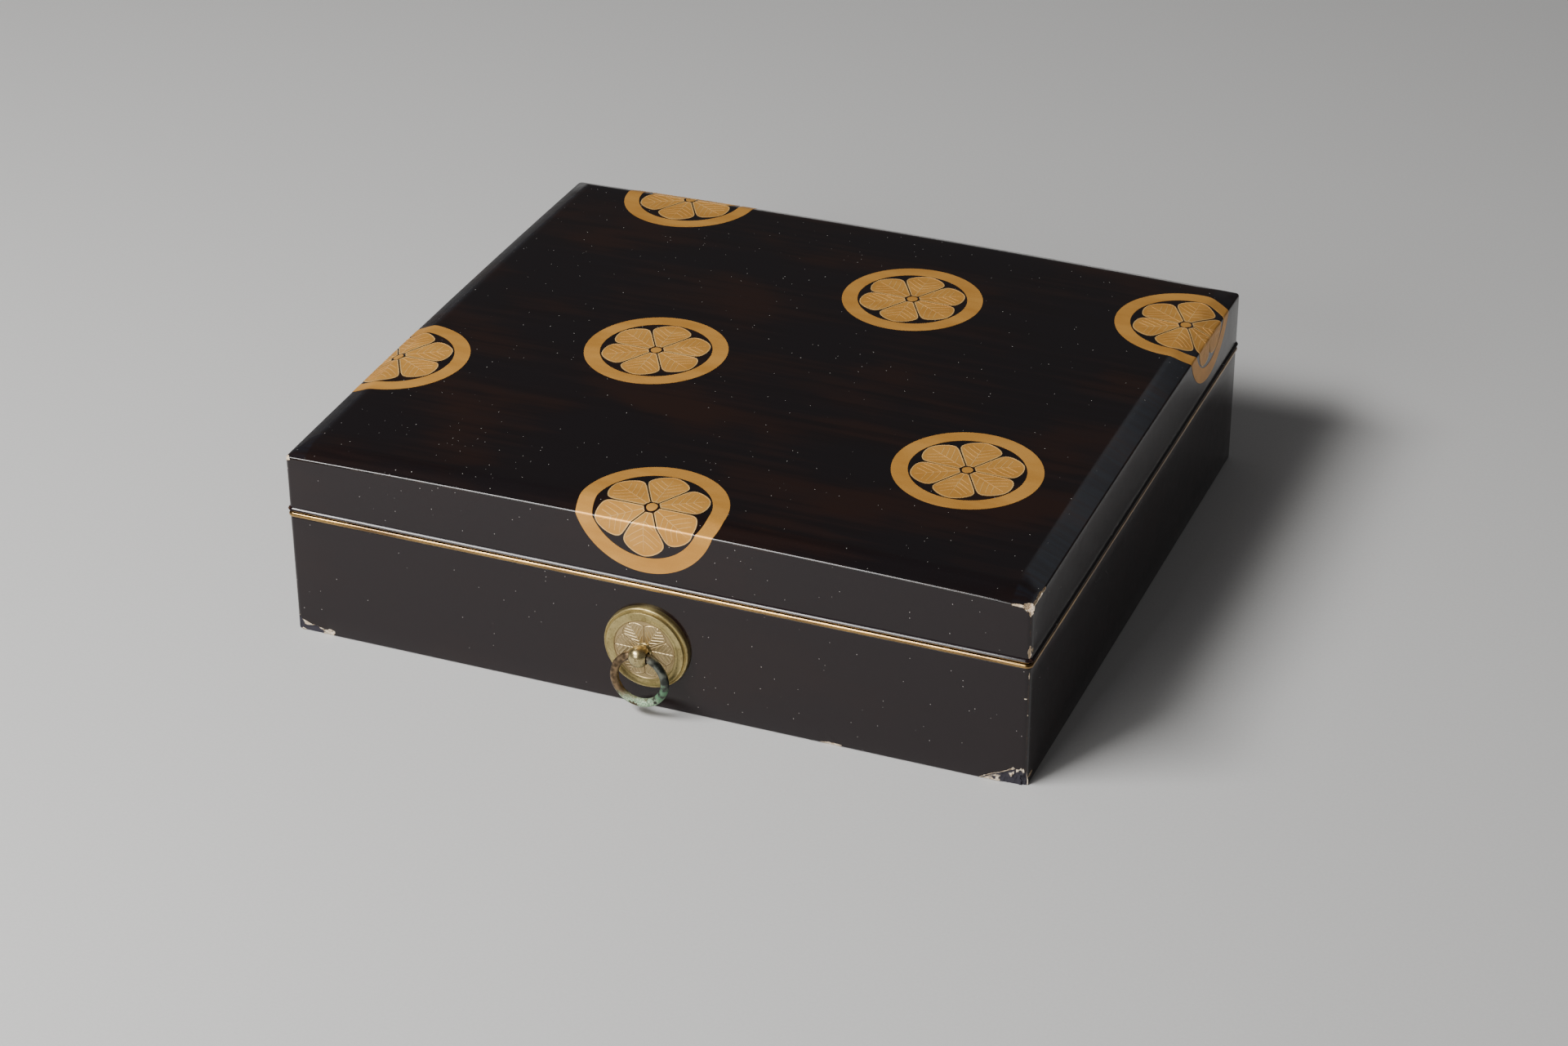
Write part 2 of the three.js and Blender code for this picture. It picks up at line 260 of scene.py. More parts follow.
def field(mesh, inset, level):
    """The grid of faces that closes a run at one of its ends."""
    rows = []
    for row in range(SHORT_CUTS + 1):
        y = (HALF_Y - inset) * (2 * row / SHORT_CUTS - 1)
        across = [(HALF_X - inset) * (2 * step / LONG_CUTS - 1) for step in range(LONG_CUTS + 1)]
        rows.append([mesh.verts.new((x, y, height_at(level, x, y))) for x in across])
    for low, high in zip(rows, rows[1:]):
        for at in range(LONG_CUTS):
            mesh.faces.new((low[at], low[at + 1], high[at + 1], high[at]))


def run_round(section, closed):
    """A moulding run round the box. The section gives insets and heights, and a section that
    isn't closed on itself ends in two fields."""
    mesh = bmesh.new()
    rings = []
    for inset, level in section:
        corners = [(*point, height_at(level, *point)) for point in plan_ring(inset)]
        rings.append([mesh.verts.new(corner) for corner in corners])
    pairs = list(zip(rings, rings[1:]))
    if closed:
        pairs.append((rings[-1], rings[0]))
    for first, second in pairs:
        for at in range(len(first)):
            onward = (at + 1) % len(first)
            mesh.faces.new((first[at], first[onward], second[onward], second[at]))
    if not closed:
        field(mesh, *section[0])
        field(mesh, *section[-1])
    return mesh


def shown(name, mesh, material, body, slot, *nodes):
    """Puts a mesh in the scene as a piece that rides on a body and stands for CAD nodes."""
    bmesh.ops.remove_doubles(mesh, verts=mesh.verts, dist=WELD)
    bmesh.ops.recalc_face_normals(mesh, faces=mesh.faces)
    data = bpy.data.meshes.new(name)
    mesh.to_mesh(data)
    mesh.free()
    data.shade_smooth()
    data.set_sharp_from_angle(angle=CREASE_ANGLE)
    data.materials.append(material)
    made = bpy.data.objects.new(name, data)
    bpy.context.collection.objects.link(made)
    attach(made, body)
    if nodes:
        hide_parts(*nodes)
    return made


def rounded(inset, height, radius, start, end, steps=4):
    """Points of a rounded edge. Angle 0 faces outwards and 90 upwards."""
    points = []
    for step in range(steps + 1):
        angle = math.radians(start + (end - start) * step / steps)
        points.append((inset - radius * math.cos(angle), height + radius * math.sin(angle)))
    return points


SIDES = ("front", "right", "back", "left")
LID_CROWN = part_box("lid_board")[1].z
MARGIN = 8 * MM
MARGIN_RISE = 3.3 * MM
CAMBER_LONG = 1.8 * MM
CAMBER_SHORT = 1.4 * MM
LID_EDGE = LID_CROWN - MARGIN_RISE - CAMBER_LONG - CAMBER_SHORT
ARRIS_NEAR = 0.3 * MM
ARRIS_FAR = 0.75 * MM
CORNER_NEAR = 0.55 * MM
CORNER_FAR = 0.95 * MM
MARGIN_BLUR = 0.6 * MM
SHEEN_START = 0.4 * MM
WALL_LOW = -1.2 * MM
WALL_HIGH = -0.6 * MM
DUST_CELLS = 400.0


def camber(x, y):
    """How far the lid's top rises above its four corners, in numbers or on a surface."""
    along, across = x / HALF_X, y / HALF_Y
    return CAMBER_LONG * (1 - along * along) + CAMBER_SHORT * (1 - across * across)


def lacquer(name, dust):
    """Polished black lacquer: nearly black, with faint red and blue in the strokes it was rubbed
    down with. A bluish sheen is painted in streaks on the lid's side margins. It is warmer on the
    walls and worn through to brown along the outer edges; along the upright corners that brown
    line is partly a painted highlight. It is specked with dust, which is paler the more there is."""
    coat = Finish(bpy.data.materials.new(name))
    place = coat.place()
    x, y, z = coat.axes(place)
    strokes = coat.cloud(coat.stretched(place, (9.0, 260.0, 260.0)), scale=1.0, detail=5.0)
    patches = coat.cloud(coat.stretched(place, (1.0, 1.8, 1.8)), scale=14.0, detail=3.0)
    red = coat.step(patches + strokes * 0.5, 0.68, 0.92)
    warm = coat.step(patches + (1 - strokes) * 0.5, 0.62, 0.95)
    colour = coat.mix(red, shade(19, 12, 12), shade(33, 18, 13))
    colour = coat.mix((1 - warm) * 0.35, colour, shade(18, 17, 21))
    inside_x = HALF_X - abs(x)
    inside_y = HALF_Y - abs(y)
    inside = inside_x.least(inside_y)
    rise = z - LID_EDGE - camber(x, y)
    on_arris = 1 - coat.step(inside, ARRIS_NEAR, ARRIS_FAR)
    on_arris = on_arris * coat.step(rise, -ARRIS_FAR, -ARRIS_NEAR)
    on_corner = 1 - coat.step(inside_x.most(inside_y), CORNER_NEAR, CORNER_FAR)
    broken = coat.step(coat.cloud(place, scale=260.0, detail=5.0), 0.42, 0.62)
    # Brown along the edges: worn lacquer on the lid's arris, and on the upright corners partly worn
    # lacquer, partly a painted highlight.
    wear_and_highlight = (on_arris * 0.12).most(on_corner * 0.5) * broken
    # Painted sheen: a bluish tint in streaks on the lid's side margins, standing for the sheen they
    # show.
    on_margin = 1 - coat.step(inside_x, MARGIN - MARGIN_BLUR, MARGIN + MARGIN_BLUR)
    on_margin = on_margin * coat.step(rise, 0.0, SHEEN_START)
    hatching = coat.cloud(coat.stretched(place, (30.0, 550.0, 30.0)), scale=1.0, detail=3.0)
    painted_sheen = on_margin * coat.step(hatching, 0.3, 0.75) * 0.7
    colour = coat.mix(painted_sheen, colour, shade(26, 28, 35))
    on_wall = 1 - coat.step(rise, WALL_LOW, WALL_HIGH)
    colour = coat.mix(on_wall * 0.75, colour, shade(25, 13, 16))
    colour = coat.mix(wear_and_highlight * 0.6, colour, shade(112, 78, 54))
    roughness = 0.1 + strokes * 0.09 + (1 - warm) * 0.06 + wear_and_highlight * 0.25 - on_arris * 0.05
    cells = coat.node("TexVoronoi", None, {"Vector": place, "Scale": DUST_CELLS})
    lot, size, _ = coat.axes(cells.out("Color"))
    dusty = coat.step(coat.cloud(place, scale=16.0, detail=1.0), 0.35, 0.65)
    kept = coat.step(lot + dusty * 0.4, 0.78, 0.8)
    speck = (1 - coat.step(cells, 0.035, 0.05 + size * 0.05)) * kept
    colour = coat.mix(speck * dust, colour, shade(205, 200, 194))
    roughness = roughness + speck * dust * 0.5
    ripple = coat.cloud(coat.stretched(place, (20.0, 90.0, 90.0)), scale=1.0, detail=2.0)
    return coat.surface({
        "Base Color": colour,
        "Roughness": roughness,
        "Normal": coat.bump(ripple + strokes * 0.1, distance=0.02 * MM, strength=0.35),
    })


body_section = [(CORNER, 0.0)]
body_section += rounded(FOOT_ROUND, FOOT_ROUND, FOOT_ROUND, -90, 0)
body_section += [(0.0, BAND * step) for step in range(2, int(GOLD_LOW / BAND))]
body_section += rounded(LIP_ROUND, GOLD_LOW - LIP_ROUND, LIP_ROUND, 0, 90)
body_section += [
    (BEAD_BED, GOLD_LOW),
    (BEAD_BED, MOUTH),
    (WALL, MOUTH),
    (WALL, SEAT),
    (BOARDS + FIELD_PLAY, SEAT),
    (BOARDS + FIELD_PLAY, FLOOR),
]
black = lacquer("black_lacquer", dust=0.8)
body = shown("body_shell", run_round(body_section, False), black, "box", "black_lacquer",
             "bottom_board", *(f"body_wall_{side}" for side in SIDES))

# Standing rim
# Thin boards glued inside the walls that stand above the mouth, rounded on top, and that the
# lid closes over. They are coated with a softer satin black lacquer, like the lid's inside.
RIM_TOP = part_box("standing_rim_front")[1].z
RIM_OUTER = 5.4 * MM
RIM_INNER = 8 * MM
RIM_ROUND = (RIM_INNER - RIM_OUTER) / 2
HAIR = 0.02 * MM

rim_section = [(RIM_INNER, SEAT), (WALL + HAIR, SEAT), (WALL + HAIR, MOUTH), (RIM_OUTER, MOUTH)]
rim_section += rounded(RIM_OUTER + RIM_ROUND, RIM_TOP - RIM_ROUND, RIM_ROUND, 0, 180, steps=8)

satin = Finish(bpy.data.materials.new("satin_lacquer"))
satin_place = satin.stretched(satin.place(), (30.0, 30.0, 400.0))
satin_strokes = satin.cloud(satin_place, scale=1.0, detail=4.0)
satin_black = satin.surface({
    "Base Color": satin.mix(satin_strokes, shade(18, 14, 13), shade(30, 22, 19)),
    "Roughness": 0.3 + satin_strokes * 0.15,
    "Normal": satin.bump(satin_strokes, distance=0.03 * MM, strength=0.4),
})
shown("standing_rim", run_round(rim_section, True), satin_black, "box", "inner_lacquer",
      *(f"standing_rim_{side}" for side in SIDES))

# Gold bead
# A rounded moulding let into the edge of the body's mouth, with its nose low. It is coated with
# gold lacquer, which is browner in stretches on the right side.
BEAD_STEP = 0.35 * MM
NOSE_STEPS = 8
GOLD_RIGHT_REACH = 3 * MM
GOLD_DROP = 0.25 * MM


def bead_section(low, high, tail_low, tail_high, proud, nose, bow):
    """A bead's section. Its nose lies at a share of its height, and a small bow makes the slope
    above the nose flatter."""
    points = [(BEAD_BED, tail_high), (BEAD_BED, tail_low)]
    if tail_low < low:
        points.append((BEAD_STEP, tail_low))
    level = low + (high - low) * nose
    for step in range(-NOSE_STEPS, NOSE_STEPS + 1):
        angle = math.pi / 2 * step / NOSE_STEPS
        reach, power = (level - low, 1) if step < 0 else (high - level, 2 / bow)
        rise = math.copysign(abs(math.sin(angle)) ** power, step)
        inset = BEAD_STEP - (BEAD_STEP + proud) * abs(math.cos(angle)) ** power
        points.append((inset, level + reach * rise))
    if tail_high > high:
        points.append((BEAD_STEP, tail_high))
    return points


def gold(name, light, dark, metal, rough, clear=0.0, right_brown=0.0):
    """Gold powder sprinkled on wet lacquer and rubbed down to a soft sheen, with a clear coat or
    none. On the right side it is browner in stretches."""
    powder = Finish(bpy.data.materials.new(name))
    place = powder.place()
    x, _, _ = powder.axes(place)
    grain = powder.cloud(place, scale=2600.0, detail=3.0)
    rubbed = powder.cloud(powder.stretched(place, (40.0, 120.0, 120.0)), scale=1.0, detail=4.0)
    colour = powder.mix(powder.step(rubbed + grain * 0.4, 0.4, 0.95), dark, light)
    bare = powder.step(x, HALF_X - GOLD_RIGHT_REACH, HALF_X)
    bare = bare * powder.step(powder.cloud(place, scale=14.0), 0.42, 0.56)
    colour = powder.mix(bare * right_brown, colour, shade(84, 56, 34))
    return powder.surface({
        "Base Color": colour,
        "Metallic": metal,
        "Roughness": rough + rubbed * 0.12 + grain * 0.08,
        "Coat Weight": clear,
        "Coat Roughness": 0.08,
        "Normal": powder.bump(grain, distance=0.012 * MM, strength=0.5),
    })


GOLD_HIGH = MOUTH - GOLD_DROP
GOLD_PROUD = -HALF_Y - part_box("gold_bead_front")[0].y
bead_gold = gold("bead_gold", shade(184, 146, 84), shade(108, 80, 44), metal=1.0, rough=0.08,
                 clear=0.6, right_brown=0.6)
gold_section = bead_section(GOLD_LOW, GOLD_HIGH, GOLD_LOW, MOUTH, GOLD_PROUD, nose=0.42, bow=1.9)
shown("gold_bead", run_round(gold_section, True), bead_gold, "box", "gold_lacquer",
      *(f"gold_bead_{side}" for side in SIDES))

# Lid
# A board that is cambered both ways, with a sloping margin that ends in a crisp rounded edge
# above four thin walls. The whole is coated with the same black lacquer, polished brightest
# along that edge, and the inside has the satin coat of the rim.
CREASE_SOFT = 1.8 * MM
CREASE_STEPS = 5
ARRIS_RADIUS = 1.1 * MM
ARRIS_STEPS = 8
LID_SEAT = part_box("lid_board")[0].z
LID_BOARD = 5.5 * MM
BLACK_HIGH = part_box("lid_bead_front")[1].z
MARGIN_ANGLE = math.atan2(MARGIN_RISE, MARGIN)
WALL_SHOWN = 26 * MM
WALL_BANDS = 4
LEVEL_ENOUGH = 0.5


def lid_profile():
    """The lid's edge from the top's crease outwards and down: inset, rise and slope angle."""
    points = []
    slope = MARGIN_RISE / MARGIN
    for step in range(CREASE_STEPS + 1):
        inset = MARGIN + CREASE_SOFT * (1 - 2 * step / CREASE_STEPS)
        run = MARGIN + CREASE_SOFT - inset
        angle = math.atan(slope * run / (2 * CREASE_SOFT))
        points.append((inset, MARGIN_RISE - slope * run * run / (4 * CREASE_SOFT), angle))
    points.append((MARGIN / 2, MARGIN_RISE / 2, MARGIN_ANGLE))
    tangent = ARRIS_RADIUS * math.tan((math.pi / 2 - MARGIN_ANGLE) / 2)
    for step in range(ARRIS_STEPS + 1):
        angle = MARGIN_ANGLE + (math.pi / 2 - MARGIN_ANGLE) * step / ARRIS_STEPS
        inset = ARRIS_RADIUS * (1 - math.sin(angle))
        points.append((inset, ARRIS_RADIUS * math.cos(angle) - tangent, angle))
    points.append((0.0, -WALL_SHOWN, math.pi / 2))
    return points


def lid_level(rise):
    return lambda x, y: LID_EDGE + camber(x, y) + rise


profile = lid_profile()
ceiling = lid_level(MARGIN_RISE - LID_BOARD)
lid_section = [(inset, lid_level(rise)) for inset, rise, _ in profile[:-1]]
lid_section += [(0.0, lid_level(-BAND * step)) for step in range(1, WALL_BANDS + 1)]
lid_section += [
    (0.0, BLACK_HIGH),
    (BEAD_BED, BLACK_HIGH),
    (BEAD_BED, MOUTH),
    (WALL, MOUTH),
    (WALL, LID_SEAT),
    (BOARDS, LID_SEAT),
    (BOARDS, ceiling),
]
polished = lacquer("polished_lacquer", dust=0.85)
lid = shown("lid_shell", run_round(lid_section, False), polished, "lid", "black_lacquer",
            "lid_board", *(f"lid_wall_{side}" for side in SIDES))
lid.data.materials.append(satin_black)
for face in lid.data.polygons:
    middle = face.center
    within = min(HALF_X - abs(middle.x), HALF_Y - abs(middle.y)) > WALL - HAIR
    under = middle.z < ceiling(middle.x, middle.y) + HAIR
    if within and under and face.normal.z <= LEVEL_ENOUGH:
        face.material_index = 1

# Lid bead
# A smaller black moulding along the lid's lower edge, just above the gold one. The slope above
# its nose is nearly flat, so it catches the light over most of its width.
BLACK_RAISE = 0.45 * MM
BLACK_LOW = MOUTH + BLACK_RAISE
BLACK_PROUD = -HALF_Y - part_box("lid_bead_front")[0].y
black_section = bead_section(BLACK_LOW, BLACK_HIGH, MOUTH, BLACK_HIGH, BLACK_PROUD,
                             nose=0.28, bow=1.3)
shown("lid_bead", run_round(black_section, True), black, "lid", "black_lacquer",
      *(f"lid_bead_{side}" for side in SIDES))

# Gold roundels
# Seven roundels in low gold relief on the lid, each a ring round six broad veined leaves.
# Four of them run over the lid's edge and down its walls, as a painter would carry them on.
RING_OUTER = 28.1 * MM
RING_INNER = 21.9 * MM
LEAVES = 6
LEAF_ROOT = 2.9 * MM
LEAF_TIP = 21.3 * MM
LEAF_SHOULDER = 8 * MM
LEAF_BROAD = 10 * MM
LEAF_FULL = 2.6
LEAF_BLUNT = 0.6
LEAF_LEAST = 0.01 * MM
LEAF_GAP = 0.26 * MM
BOSS_RADIUS = 2.1 * MM
BOSS_CUTS = 24
RELIEF = 0.09 * MM
LINE_RELIEF = 0.13 * MM
SUNK = 0.05 * MM
RING_CUTS = 96
LEAF_STEPS = 36
RIM_LINE = 0.38 * MM
RIB_REACH = 0.93
RIB_BROAD = 1.6
VEINS = 5
VEIN_STEPS = 8
VEIN_WIDTH = 0.2 * MM
VEIN_BROAD = 1.2
VEIN_TAPER = 0.7
VEINS_FROM = 0.08
VEINS_OVER = 0.72
VEIN_REACH = LEAF_BROAD + 1 * MM
VEIN_RISE = 0.62
VEIN_BEND = 0.22
VEIN_CLEAR = 0.3 * MM
TIP_CLEAR = 1.2 * MM
CUT_EVERY = 7 * MM


def walk(distance):
    """Goes a distance out along the lid's edge profile: inset, rise and slope angle there."""
    for (inset, rise, angle), (inset_on, rise_on, angle_on) in zip(profile, profile[1:]):
        length = math.hypot(inset - inset_on, rise - rise_on)
        if distance <= length:
            share = distance / length
            blend = (inset + (inset_on - inset) * share, rise + (rise_on - rise) * share)
            return (*blend, angle + (angle_on - angle) * share)
        distance -= length
    raise ValueError("a roundel reaches below the lid's wall")


def folded(reach, half):
    """Where a distance from the lid's middle ends up once it is folded over the edge."""
    flat = half - profile[0][0]
    if abs(reach) <= flat:
        return reach, MARGIN_RISE, 0.0
    inset, rise, angle = walk(abs(reach) - flat)
    return math.copysign(half - inset, reach), rise, math.copysign(angle, reach)


def on_lid(u, v, lift):
    x, rise_x, tilt_x = folded(u, HALF_X)
    y, rise_y, tilt_y = folded(v, HALF_Y)
    upright = math.cos(tilt_x) * math.cos(tilt_y)
    out = Vector((math.sin(tilt_x), math.sin(tilt_y), upright)).normalized()
    return Vector((x, y, LID_EDGE + camber(x, y) + min(rise_x, rise_y))) + out * lift


def soft_least(one, other, sharpness):
    """The lesser of two lengths, with a soft change from one to the other."""
    return (one ** -sharpness + other ** -sharpness) ** (-1 / sharpness)


def leaf_half_width(along):
    """Half a leaf's width: that of its sector at first, then drawn in to a rounded end."""
    turn = math.pi / LEAVES
    sector = (along * math.sin(turn) - LEAF_GAP) / math.cos(turn)
    if along <= LEAF_SHOULDER:
        return max(sector, 0)
    part = (along - LEAF_SHOULDER) / (LEAF_TIP - LEAF_SHOULDER)
    rounded_end = LEAF_BROAD * (1 - min(part, 1) ** LEAF_FULL) ** LEAF_BLUNT
    return soft_least(sector, max(rounded_end, LEAF_LEAST), sharpness=8)


def leaf_outline(shrink):
    """One leaf's outline, with its axis along +Y, shrunk evenly by a distance."""
    right = []
    for step in range(LEAF_STEPS + 1):
        share = 0.5 - 0.5 * math.cos(math.pi * step / LEAF_STEPS)
        along = LEAF_ROOT + (LEAF_TIP - LEAF_ROOT) * share
        right.append(Vector((leaf_half_width(along), along)))
    outline = right + [Vector((-point.x, point.y)) for point in reversed(right[:-1])]
    if not shrink:
        return outline
    moved = []
    for at, point in enumerate(outline):
        before, after = outline[at - 1], outline[(at + 1) % len(outline)]
        way = (after - before).normalized()
        moved.append(point + shrink * Vector((-way.y, way.x)))
    return moved


def strip(path, widths):
    """Both edges of a thin tapering line along a path."""
    left, right = [], []
    for at, point in enumerate(path):
        before, after = path[max(at - 1, 0)], path[min(at + 1, len(path) - 1)]
        way = (after - before).normalized()
        across = Vector((-way.y, way.x)) * widths[at] / 2
        left.append(point + across)
        right.append(point - across)
    return left, right


def vein_lines():
    """The midrib and the side veins of a leaf, as strips."""
    rib_length = LEAF_TIP * RIB_REACH - LEAF_ROOT
    rib = [Vector((0, LEAF_ROOT + rib_length * at / VEIN_STEPS)) for at in range(VEIN_STEPS + 1)]
    yield strip(rib, [VEIN_WIDTH * (RIB_BROAD - at / VEIN_STEPS) for at in range(VEIN_STEPS + 1)])
    for vein in range(VEINS):
        start = LEAF_ROOT + (LEAF_TIP - LEAF_ROOT) * (VEINS_FROM + VEINS_OVER * vein / VEINS)
        for side in (-1, 1):
            path, widths = [], []
            for at in range(VEIN_STEPS + 1):
                out = VEIN_REACH * at / VEIN_STEPS
                along = start + out * VEIN_RISE + out * out / LEAF_BROAD * VEIN_BEND
                point = Vector((side * out, along))
                room_left = leaf_half_width(point.y) - RIM_LINE - VEIN_CLEAR - out
                if point.y > LEAF_TIP - TIP_CLEAR or room_left < 0:
                    break
                path.append(point)
                widths.append(VEIN_WIDTH * (VEIN_BROAD - VEIN_TAPER * at / VEIN_STEPS))
            if len(path) > 2:
                yield strip(path, widths)


def plate(mesh, pieces, centre, turn, low, high, index):
    """Adds flat faces and turns them into a closed plate between two heights, cut where the
    lid bends and every few millimetres so that it follows the camber."""
    flat = bmesh.new()
    spin = Matrix.Rotation(turn, 2)
    for face in pieces:
        flat.faces.new([flat.verts.new((*(spin @ corner + centre), 0)) for corner in face])
    bmesh.ops.remove_doubles(flat, verts=flat.verts, dist=WELD)
    for axis, half in ((0, HALF_X), (1, HALF_Y)):
        low_side, high_side = centre[axis] - RING_OUTER, centre[axis] + RING_OUTER
        count = int(2 * RING_OUTER / CUT_EVERY)
        cuts = [low_side + CUT_EVERY * step for step in range(1, count + 1)]
        bends, out = [half - profile[0][0]], half - profile[0][0]
        for (inset, rise, _), (inset_on, rise_on, _) in zip(profile, profile[1:-1]):
            out += math.hypot(inset - inset_on, rise - rise_on)
            bends.append(out)
        cuts += [side * bend for bend in bends for side in (-1, 1)]
        for cut in cuts:
            if low_side < cut < high_side:
                spot = Vector((0, 0, 0))
                spot[axis] = cut
                way = Vector((0, 0, 0))
                way[axis] = 1
                geometry = flat.verts[:] + flat.edges[:] + flat.faces[:]
                bmesh.ops.bisect_plane(flat, geom=geometry, dist=WELD, plane_co=spot, plane_no=way)
    lower, upper = {}, {}
    for corner in flat.verts:
        lower[corner] = mesh.verts.new(on_lid(corner.co.x, corner.co.y, low))
        upper[corner] = mesh.verts.new(on_lid(corner.co.x, corner.co.y, high))
    for face in flat.faces:
        corners = list(face.verts)
        made = [mesh.faces.new([upper[corner] for corner in corners])]
        made.append(mesh.faces.new([lower[corner] for corner in reversed(corners)]))
        for new in made:
            new.material_index = index
    for edge in flat.edges:
        if len(edge.link_faces) == 1:
            first, last = edge.verts
            side = mesh.faces.new((lower[first], lower[last], upper[last], upper[first]))
            side.material_index = index
    flat.free()


def circle(radius, cuts):
    angles = [2 * math.pi * at / cuts for at in range(cuts)]
    return [Vector((radius * math.cos(angle), radius * math.sin(angle))) for angle in angles]


def band(inner, outer):
    """The quads between two outlines of the same number of points."""
    quads = []
    for at in range(len(inner)):
        onward = (at + 1) % len(inner)
        quads.append((outer[at], outer[onward], inner[onward], inner[at]))
    return quads


leaf = leaf_outline(0)
leaf_inner = leaf_outline(RIM_LINE)
vein_quads = []
for left, right in vein_lines():
    vein_quads.append(
        [(left[at], right[at], right[at + 1], left[at + 1]) for at in range(len(left) - 1)])
half_leaf = len(leaf) // 2
leaf_quads = [(leaf[at], leaf[at + 1], leaf[-at - 2], leaf[-at - 1]) for at in range(half_leaf)]

leaf_gold = gold("leaf_gold", shade(230, 168, 82), shade(208, 146, 64), metal=0.4, rough=0.32)
line_gold = gold("line_gold", shade(250, 208, 136), shade(240, 188, 112), metal=0.4, rough=0.32)
ROUNDELS = {
    "middle_left": (-47.6, -12.1),
    "middle_back": (29.4, 66.3),
    "middle_right": (96.1, -56.3),
    "over_front": (-0.6, -122.9),
    "over_left": (-140.4, -50.0),
    "over_back": (-90.9, 122.8),
    "over_right": (136.3, 87.8),
}
for name, spot in ROUNDELS.items():
    mesh = bmesh.new()
    centre = Vector(spot) * MM
    ring = band(circle(RING_INNER, RING_CUTS), circle(RING_OUTER, RING_CUTS))
    plate(mesh, ring, centre, 0, -SUNK, RELIEF, 0)
    plate(mesh, [circle(BOSS_RADIUS, BOSS_CUTS)], centre, 0, -SUNK, LINE_RELIEF, 0)
    for turn in range(LEAVES):
        angle = 2 * math.pi * turn / LEAVES
        plate(mesh, leaf_quads, centre, angle, -SUNK, RELIEF, 0)
        plate(mesh, band(leaf_inner, leaf), centre, angle, SUNK, LINE_RELIEF, 1)
        for vein in vein_quads:
            plate(mesh, vein, centre, angle, SUNK, LINE_RELIEF, 1)
    made = shown("roundel_" + name, mesh, leaf_gold, "lid", "gold_lacquer")
    made.data.materials.append(line_gold)

# Cord ring fittings
# One in the middle of each long side, for the tying cord: a stepped brass disc with an
# engraved middle, a ball headed pin through it, and a ring of round wire hung in the ball.
FITTING_Z = MOUTH / 2
DISC_TURNS = 480
BORE = 1.6 * MM
DISC_RADIUS = 16.8 * MM
DISC_SIDE = 1.3 * MM
SHOULDER = 15.8 * MM
SHOULDER_HEIGHT = 2.3 * MM
SHOULDER_STEPS = 6
GROOVE = 0.3 * MM
STEP_FOOT = 0.1 * MM
FACE = 15.2 * MM
FACE_HEIGHT = 3.4 * MM
FACE_CHAMFER = 0.12 * MM
FACE_EASE = 0.2 * MM
FACE_SINK = 0.03 * MM
LINE_OUTER = 0.9 * MM
LINE_MIDDLE = 0.7 * MM
LINE_INNER = 0.5 * MM
LINE_DEPTH = 0.07 * MM
MEDAL = 12.2 * MM
MEDAL_EDGE = 0.4 * MM
MEDAL_DEPTH = 0.32 * MM
MEDAL_RINGS = 84
PLAIN = -1.0
ENGRAVED = 0.24 * MM
FLOWER_TIP = 11.6 * MM
PETAL_BROAD = 5.6 * MM
PETAL_FULL = 5
PETAL_GAP = 0.15 * MM
PETAL_LOW = 0.3
PETAL_LINE = 0.7
VEIN_SPACING = 1.5 * MM
VEIN_SLANT = 0.75
VEIN_INSET = 0.5 * MM
VEIN_FADE = 0.2 * MM
LINE_HALF = 0.28 * MM
RECESS_OUT = 0.1 * MM
GROUND_HEIGHT = 0.14
PUNCH_HEIGHT = 0.12
PUNCHES = 2600

to_front = Matrix.Translation((0, -HALF_Y, FITTING_Z)) @ Matrix.Rotation(math.pi / 2, 4, "X")
FITTINGS = {"front": to_front, "back": Matrix.Rotation(math.pi, 4, "Z") @ to_front}


def smooth(value):
    value = min(max(value, 0.0), 1.0)
    return value * value * (3 - 2 * value)


def engraving(radius, angle):
    """The medallion's height above its sunk ground at a point, from 0 to 1: six petals with
    raised outlines and veins on a punched ground."""
    turn = 2 * math.pi / LEAVES
    within = (angle + turn / 2) % turn - turn / 2
    along, aside = radius * math.cos(within), abs(radius * math.sin(within))
    share = min(max(along / FLOWER_TIP, 0), 1)
    rounded_end = PETAL_BROAD * (1 - share ** PETAL_FULL) ** LEAF_BLUNT
    inside = min(along * math.tan(turn / 2) - PETAL_GAP, rounded_end) - aside
    petal = smooth(inside / LINE_HALF)
    outline = 1 - smooth(abs(inside - LINE_HALF) / LINE_HALF)
    rib = (1 - smooth(aside / LINE_HALF)) * petal
    phase = ((along - aside * VEIN_SLANT) / VEIN_SPACING) % 1
    vein = 1 - smooth(abs(phase - 0.5) * VEIN_SPACING / LINE_HALF)
    line = max(outline, rib, vein * smooth((inside - VEIN_INSET) / VEIN_FADE))
    spot = Vector((radius * math.cos(angle), radius * math.sin(angle), 0))
    recess = 1 - smooth(abs(inside + RECESS_OUT) / LINE_HALF)
    punch = smooth(0.5 + noise.noise(spot * PUNCHES))
    ground = (GROUND_HEIGHT + PUNCH_HEIGHT * punch) * (1 - recess)
    return max(petal * (PETAL_LOW + PETAL_LINE * line), ground)


def medal_height(radius, angle):
    edge = smooth((MEDAL - radius) / MEDAL_EDGE)
    return FACE_HEIGHT - edge * (MEDAL_DEPTH - ENGRAVED * engraving(radius, angle))


